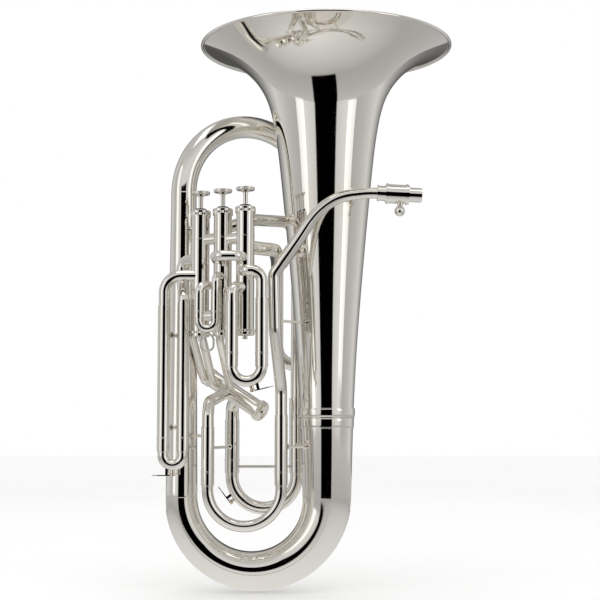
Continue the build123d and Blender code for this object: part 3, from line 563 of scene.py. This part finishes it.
class TUBA_OT_bell(bpy.types.Operator):
    """Spin the bell from its flare outline, with a rolled rim and the ferrule at its foot."""
    bl_idname = "tuba.bell"
    bl_label = "Bell"

    def execute(self, context):
        shape = context.scene.tuba_shape
        centre, mouth, top, outline = bell_shape(shape)
        skin = spun([tuple(point) for point in outline], centre, shape.bell_steps)
        foot = Vector((*centre, outline[-1][1]))
        add_piece(walled(skin, foot, shape.sheet), "bell_flare", "horn", "silver_plate", ["bell"])
        bead_mid = mouth - shape.bead
        turns = [TAU * i / BEAD_STEPS for i in range(BEAD_STEPS + 1)]
        loop = [(bead_mid + shape.bead * math.cos(a), top + shape.bead * math.sin(a)) for a in turns]
        add_piece(closed(spun(loop, centre, shape.bell_steps)), "bell_rim", "horn", "silver_plate")

        heights = [point[1] for point in outline][::-1]
        radii = [point[0] for point in outline][::-1]

        def at_height(z):
            return float(np.interp(z, heights, radii)) + SOLDER_GAP

        low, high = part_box("bell_ferrule")
        split = low.z + (high.z - low.z) * FERRULE_SPLIT
        mesh = bmesh.new()
        band(mesh, centre, split + 0.0004, high.z, at_height, shape.ferrule_lift, steps=128)
        band(mesh, centre, low.z, split - 0.0004, at_height, shape.ferrule_lift * 0.45, steps=128)
        for z in (low.z + 0.001, split, high.z - 0.001):
            band(mesh, centre, z - 0.0007, z + 0.0007, at_height, shape.ferrule_lift * 0.75, steps=128)
        add_piece(closed(mesh), "bell_ferrule_bands", "horn", "silver_plate", ["bell_ferrule"])
        return {"FINISHED"}


class TUBA_OT_bows(bpy.types.Operator):
    """Draw the large tapered tubes: bottom bow, left branch and top bow."""
    bl_idname = "tuba.bows"
    bl_label = "Bows and left branch"

    def execute(self, context):
        shape = context.scene.tuba_shape
        bell_low, bell_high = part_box("bell")
        branch_low, branch_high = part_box("left_branch")
        bell_x = (bell_low.x + bell_high.x) / 2
        branch_x = (branch_low.x + branch_high.x) / 2
        spread = bell_x - branch_x
        rise = bell_low.z
        mid_x = (bell_x + branch_x) / 2
        side = Vector((0, 1, 0))
        taper = math.log(1 - BOW_NARROWING_HALF_WAY) / math.log(0.5)

        def bow_radius(share):
            return shape.throat + (shape.branch_low - shape.throat) * (1 - (1 - share) ** taper)

        sweep = []
        for i in range(shape.bow_steps + 1):
            share = i / shape.bow_steps
            a = math.pi * share
            centre = Vector((mid_x + spread / 2 * math.cos(a), 0, rise - spread / 2 * math.sin(a)))
            heading = Vector((-math.sin(a), 0, -math.cos(a)))
            sweep.append((centre, heading, side, bow_radius(share)))
        bow = walled(ring_skin(sweep, shape.round_steps), sweep[0][0], shape.sheet)
        add_piece(bow, "bottom_bow_skin", "horn", "silver_plate", ["bottom_bow"])

        upright = []
        for i in range(UPRIGHT_RINGS + 1):
            share = i / UPRIGHT_RINGS
            radius = shape.branch_low + (shape.branch_high - shape.branch_low) * share
            z = branch_low.z + (branch_high.z - branch_low.z) * share
            upright.append((Vector((branch_x, 0, z)), Vector((0, 0, 1)), Vector((1, 0, 0)), radius))
        branch = walled(ring_skin(upright, shape.round_steps), upright[0][0], shape.sheet)
        add_piece(branch, "left_branch_skin", "horn", "silver_plate", ["left_branch"])

        back_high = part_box("back_branch")[1]
        end = Vector((back_high.x - shape.top_end, back_high.y - shape.top_end, branch_high.z))
        start = Vector((branch_x, 0, branch_high.z))
        across = (end - start) / 2
        radius = across.length
        across.normalize()
        lean = Vector((-across.y, across.x, 0))
        arch = []
        for i in range(shape.bow_steps + 1):
            a = math.pi * i / shape.bow_steps
            centre = start + across * radius * (1 - math.cos(a)) + Vector((0, 0, radius * math.sin(a)))
            heading = across * math.sin(a) + Vector((0, 0, math.cos(a)))
            size = shape.branch_high + (shape.top_end - shape.branch_high) * i / shape.bow_steps
            arch.append((centre, heading, lean, size))
        top = walled(ring_skin(arch, shape.round_steps), arch[0][0], shape.sheet)
        add_piece(top, "top_bow_skin", "horn", "silver_plate", ["top_bow"])

        def branch_radius(z):
            share = (z - branch_low.z) / (branch_high.z - branch_low.z)
            return shape.branch_low + (shape.branch_high - shape.branch_low) * share + SOLDER_GAP

        mesh = bmesh.new()
        reach = shape.joint_band
        for z in (branch_low.z, branch_high.z - reach):
            band(mesh, (branch_x, 0.0), z + JOINT_GAP, z + reach, branch_radius, JOINT_LIFT, steps=128)
        band(mesh, (end.x, end.y), end.z - reach, end.z - JOINT_GAP, lambda z: shape.top_end + SOLDER_GAP,
             JOINT_LIFT, steps=96)
        add_piece(closed(mesh), "branch_joint_bands", "horn", "silver_plate", ["branch_ferrules"])
        return {"FINISHED"}


class TUBA_OT_trim(bpy.types.Operator):
    """Rings on the slides and casings, and the milled edges of the valve caps."""
    bl_idname = "tuba.trim"
    bl_label = "Rings and milled edges"

    def slide_rings(self, name, shape):
        """A ring at the foot of each sleeve, and one at the top of each leg of the bow."""
        sleeve_low, sleeve_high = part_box(name + "_slide_sleeves")
        bow_low, bow_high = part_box(name + "_slide_bow")
        for kind, body, (low, high), at_end in (
                ("sleeve", "horn", (sleeve_low, sleeve_high), sleeve_low.z),
                ("bow", name + "_slide", (bow_low, bow_high), bow_high.z - shape.ring_height)):
            radius = (high.y - low.y) / 2
            mesh = bmesh.new()
            for x in (low.x + radius, high.x - radius):
                band(mesh, (x, (low.y + high.y) / 2), at_end, at_end + shape.ring_height,
                     lambda z: radius, shape.ring_lift, steps=48)
            slot = "silver_plate" if kind == "sleeve" else "slide_silver"
            add_piece(closed(mesh), f"{name}_{kind}_rings", body, slot)

    def milled_band(self, mesh, centre, low, high, radius):
        """Add a closed ring of teeth with chamfered ends."""
        rims = []
        for z, shrink in ((low, TOOTH_TAPER), (low + TOOTH_CHAMFER, 0.0), (high - TOOTH_CHAMFER, 0.0),
                          (high, TOOTH_TAPER)):
            verts = []
            for i in range(CAP_TEETH * 2):
                a = TAU * i / (CAP_TEETH * 2)
                r = radius - shrink - (i % 2) * TOOTH_DEPTH
                verts.append(mesh.verts.new((centre[0] + r * math.cos(a), centre[1] + r * math.sin(a), z)))
            rims.append([mesh.edges.new((verts[i - 1], verts[i])) for i in range(len(verts))])
        for lower, upper in zip(rims, rims[1:]):
            bmesh.ops.bridge_loops(mesh, edges=lower + upper)
        bmesh.ops.holes_fill(mesh, edges=rims[0] + rims[-1], sides=0)

    def execute(self, context):
        shape = context.scene.tuba_shape
        for name in ("first", "second", "third", "main", "fourth"):
            self.slide_rings(name, shape)
        cap_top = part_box("top_caps")[1].z
        casing_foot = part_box("valve_casings")[0].z
        rings = bmesh.new()
        milled = bmesh.new()
        for number in (1, 2, 3):
            low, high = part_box(f"stem_{number}")
            centre = ((low.x + high.x) / 2, (low.y + high.y) / 2)
            joint = cap_top - shape.casing_joint_drop
            band(rings, centre, joint, joint + shape.ring_height * 0.7, lambda z: shape.casing,
                 shape.ring_lift * 0.8)
            for edge, (start, stop), lift in (
                    (cap_top, TOP_MILLING, 0.0004), (casing_foot, FOOT_MILLING, 0.0003)):
                self.milled_band(milled, centre, edge + start, edge + stop, shape.cap + lift)
        add_piece(closed(rings), "casing_joint_rings", "horn", "silver_plate")
        add_piece(closed(milled), "milled_cap_edges", "horn", "silver_plate", crisp=15.0)
        return {"FINISHED"}


DRAWN_NEW = {"bell", "bell_ferrule", "bottom_bow", "left_branch", "top_bow", "branch_ferrules"}
# The record lists the springs as deforming nodes, so they keep their own meshes.
KEPT = {f"spring_{number}" for number in (1, 2, 3, 4)}


class TUBA_OT_tubes(bpy.types.Operator):
    """Smooth shells for the tubes, valves, slides, keys and braces."""
    bl_idname = "tuba.tubes"
    bl_label = "Tubes and fittings"

    def execute(self, context):
        for node in NODES:
            if node not in DRAWN_NEW | KEPT:
                smooth_shell(node)
        return {"FINISHED"}


class TUBA_OT_nodes(bpy.types.Operator):
    """Give every frame node its own slot's finish."""
    bl_idname = "tuba.nodes"
    bl_label = "Frame finishes"

    def execute(self, context):
        for node, piece in NODES.items():
            piece.data.materials.clear()
            piece.data.materials.append(finish_for(SLOT_OF[node]))
        return {"FINISHED"}


class TUBA_OT_stage(bpy.types.Operator):
    """Pale floor, glowing walls, three soft boxes and the camera."""
    bl_idname = "tuba.stage"
    bl_label = "Studio"

    def stage_piece(self, name, mesh, material, seen):
        """Stand a mesh on the stage. An unseen one shows only in the plate."""
        data = bpy.data.meshes.new(name)
        mesh.to_mesh(data)
        mesh.free()
        piece = bpy.data.objects.new(name, data)
        bpy.context.scene.collection.objects.link(piece)
        data.materials.append(material)
        piece.visible_camera = seen
        piece.visible_diffuse = seen
        piece.visible_shadow = seen

    def light(self, name, place, target, size, power):
        """Hang a rectangular soft box that faces a point."""
        lamp = bpy.data.lights.new(name, "AREA")
        lamp.shape = "RECTANGLE"
        lamp.size, lamp.size_y = size
        lamp.energy = power
        holder = bpy.data.objects.new(name, lamp)
        holder.location = place
        holder.rotation_euler = (Vector(target) - Vector(place)).to_track_quat("-Z", "Y").to_euler()
        bpy.context.scene.collection.objects.link(holder)

    def execute(self, context):
        scene = context.scene
        studio = scene.tuba_studio
        world = bpy.data.worlds.new("studio")
        world.use_nodes = True
        world.node_tree.nodes["Background"].inputs[0].default_value = (1.0, 1.0, 1.0, 1.0)
        world.node_tree.nodes["Background"].inputs[1].default_value = studio.sky
        scene.world = world

        floor = bmesh.new()
        bmesh.ops.create_grid(floor, x_segments=1, y_segments=1, size=7.0,
                              matrix=Matrix.Translation((0, 0, CAD_LOW.z - 0.002)))
        self.stage_piece("floor", floor, floor_finish("pale floor"), True)

        walls = bmesh.new()
        radius, height = studio.ring_radius, studio.ring_height
        bmesh.ops.create_cone(walls, cap_ends=True, segments=96, radius1=radius, radius2=radius, depth=height,
                              matrix=Matrix.Translation((0, 0, height / 2 - 0.01)))
        underside = [face for face in walls.faces if len(face.verts) > 4 and face.calc_center_median().z < 0]
        bmesh.ops.delete(walls, geom=underside, context="FACES")
        bmesh.ops.reverse_faces(walls, faces=walls.faces)
        self.stage_piece("light_ring", walls, ring_finish("soft walls", studio), False)

        disc = bmesh.new()
        bmesh.ops.create_circle(disc, cap_ends=True, segments=96, radius=radius,
                                matrix=Matrix.Translation((0, 0, CAD_LOW.z - 0.001)))
        self.stage_piece("floor_glow", disc, floor_glow_finish("floor in reflections", studio), False)

        for box in SOFT_BOXES:
            self.light(*box)

        lens = bpy.data.cameras.new("camera")
        lens.lens = studio.lens
        lens.sensor_width = 36.0
        lens.clip_start = 0.05
        lens.clip_end = 60.0
        camera = bpy.data.objects.new("camera", lens)
        camera.location = studio.camera_place
        camera.rotation_euler = (math.pi / 2 + studio.camera_tilt, 0, 0)
        scene.collection.objects.link(camera)
        scene.camera = camera
        scene.view_settings.view_transform = "Standard"
        return {"FINISHED"}


class TUBA_PT_panel(bpy.types.Panel):
    """The tuba's makers and sizes."""
    bl_idname = "TUBA_PT_panel"
    bl_label = "Tuba"
    bl_space_type = "VIEW_3D"
    bl_region_type = "UI"
    bl_category = "Tuba"

    def draw(self, context):
        layout = self.layout
        scene = context.scene
        for name in OPERATORS:
            layout.operator(name)
        for group in (scene.tuba_shape, scene.tuba_finish, scene.tuba_studio):
            for key in group.__annotations__:
                layout.prop(group, key)


OPERATORS = ("tuba.stage", "tuba.nodes", "tuba.bell", "tuba.bows", "tuba.trim", "tuba.tubes")
GROUPS = {"tuba_shape": TubaShape, "tuba_finish": TubaFinish, "tuba_studio": TubaStudio}
CLASSES = (TubaShape, TubaFinish, TubaStudio, TUBA_OT_bell, TUBA_OT_bows, TUBA_OT_trim, TUBA_OT_tubes,
           TUBA_OT_nodes, TUBA_OT_stage, TUBA_PT_panel)


def register():
    """Add the classes, and the size and finish groups on the scene."""
    for item in CLASSES:
        bpy.utils.register_class(item)
    for name, group in GROUPS.items():
        setattr(bpy.types.Scene, name, bpy.props.PointerProperty(type=group))


def unregister():
    """Take off what register added."""
    for name in GROUPS:
        delattr(bpy.types.Scene, name)
    for item in reversed(CLASSES):
        bpy.utils.unregister_class(item)


def main():
    """Run every maker in order."""
    register()
    for name in OPERATORS:
        group, call = name.split(".")
        getattr(getattr(bpy.ops, group), call)()


if __name__ == "__main__":
    main()
